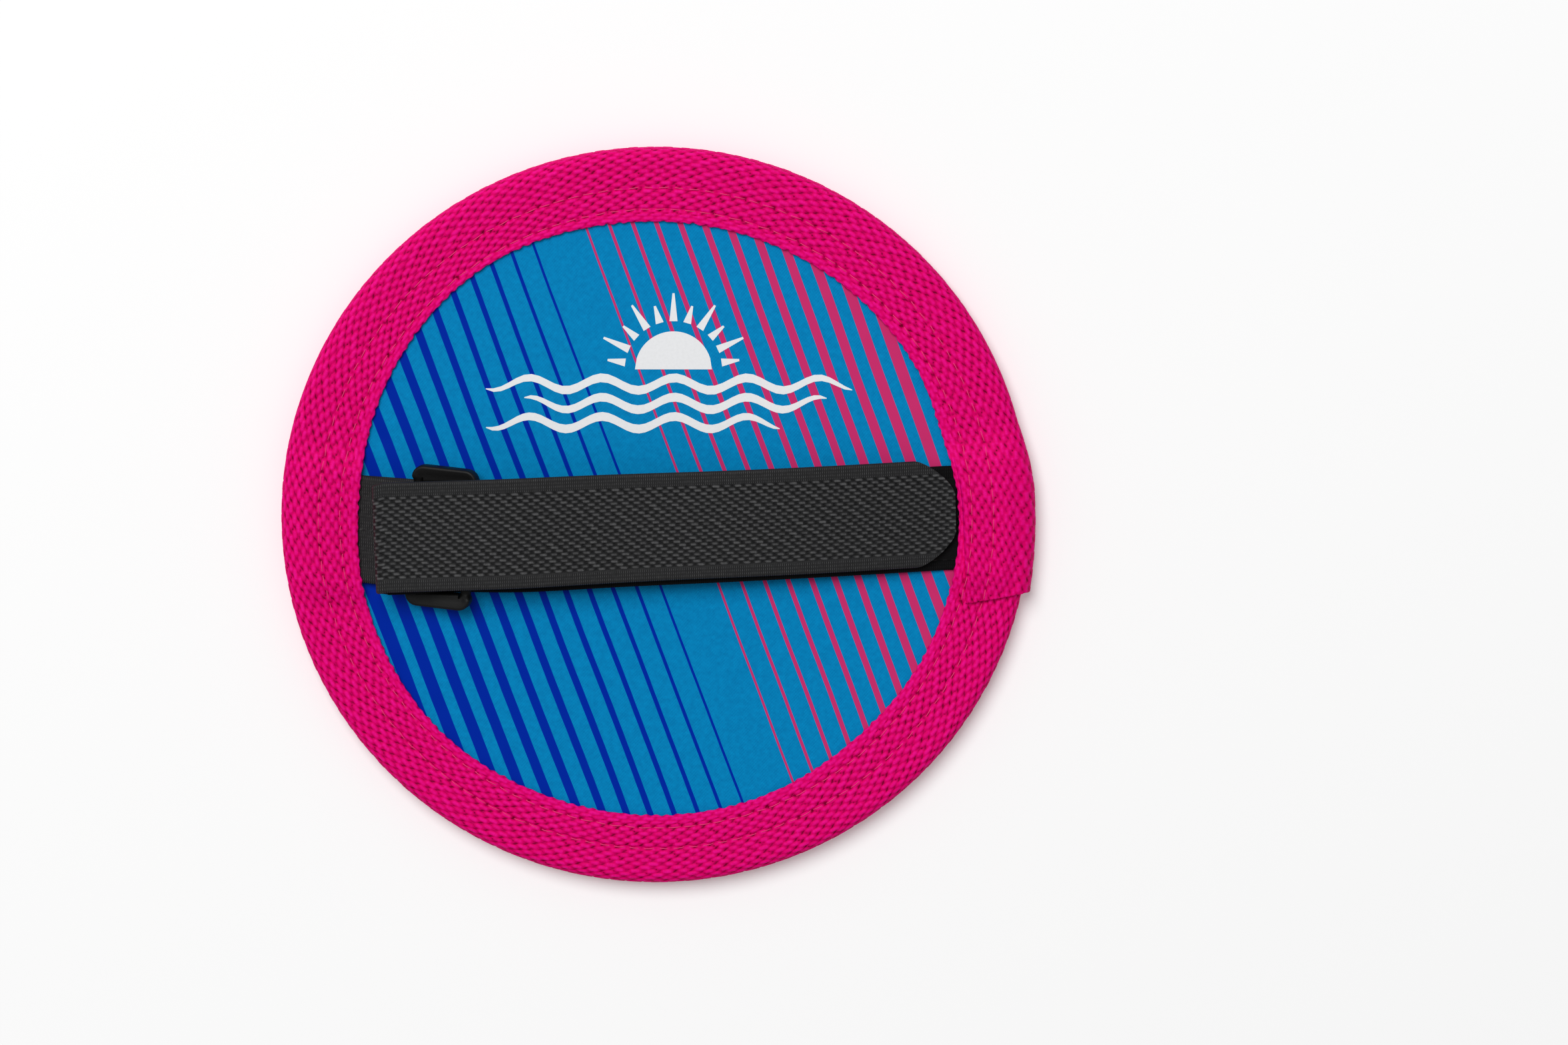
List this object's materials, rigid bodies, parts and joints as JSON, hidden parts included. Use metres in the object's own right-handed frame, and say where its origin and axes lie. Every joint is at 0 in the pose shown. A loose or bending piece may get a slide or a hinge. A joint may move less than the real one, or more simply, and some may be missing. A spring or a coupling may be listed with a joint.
{
  "type": "hook and loop catch paddle",
  "caption": "Round padded catch paddle with a hook face, a webbing edge binding and a hand strap that threads through a plastic ring and folds back on itself.",
  "frame": {"origin": "centre of the paddle on the plane that it rests on, catching side down", "axes": "+X along the hand strap towards its tip, +Y across the strap, +Z from the catching side to the strap"},
  "size_m": [0.1783, 0.177, 0.0185],
  "materials": {
    "hook_fabric": "matte hook fabric",
    "board": "plain sheet",
    "foam": "soft open foam",
    "cover_cloth": "fine knit with satin printed stripes",
    "binding_webbing": "coarse woven webbing",
    "seam_thread": "twisted thread",
    "strap_webbing": "woven strap with plain edges",
    "ring_plastic": "moulded satin plastic",
    "loop_pile": "brushed loop pile",
    "hook_tape": "hook tape"
  },
  "bodies": {
    "paddle": {"catch_face": "hook_fabric", "stiffener_board": "board", "foam_pad": "foam", "back_cover": "cover_cloth", "edge_binding": "binding_webbing", "outer_seam_top_thread": "seam_thread", "inner_seam_top_thread": "seam_thread", "outer_seam_bottom_thread": "seam_thread", "inner_seam_bottom_thread": "seam_thread", "strap_tab": "strap_webbing", "hand_band": "strap_webbing", "loop_strip": "loop_pile", "strap_fold": "strap_webbing"},
    "ring": {"buckle_ring": "ring_plastic"},
    "flap": {"strap_flap": "strap_webbing", "hook_patch": "hook_tape"}
  },
  "joints": [
    {"name": "ring_tilt", "type": "hinge", "parent": "paddle", "child": "ring", "pos_m": [-0.05653, -0.00248, 0.0095], "axis": [-0.0663, -0.9978, 0], "range_deg": [0, 8]},
    {"name": "flap_peel", "type": "hinge", "parent": "paddle", "child": "flap", "pos_m": [-0.06347, -0.00334, 0.01588], "axis": [0.0305, -0.9995, 0], "range_deg": [0, 180], "deforming": ["strap_fold"]}
  ]
}
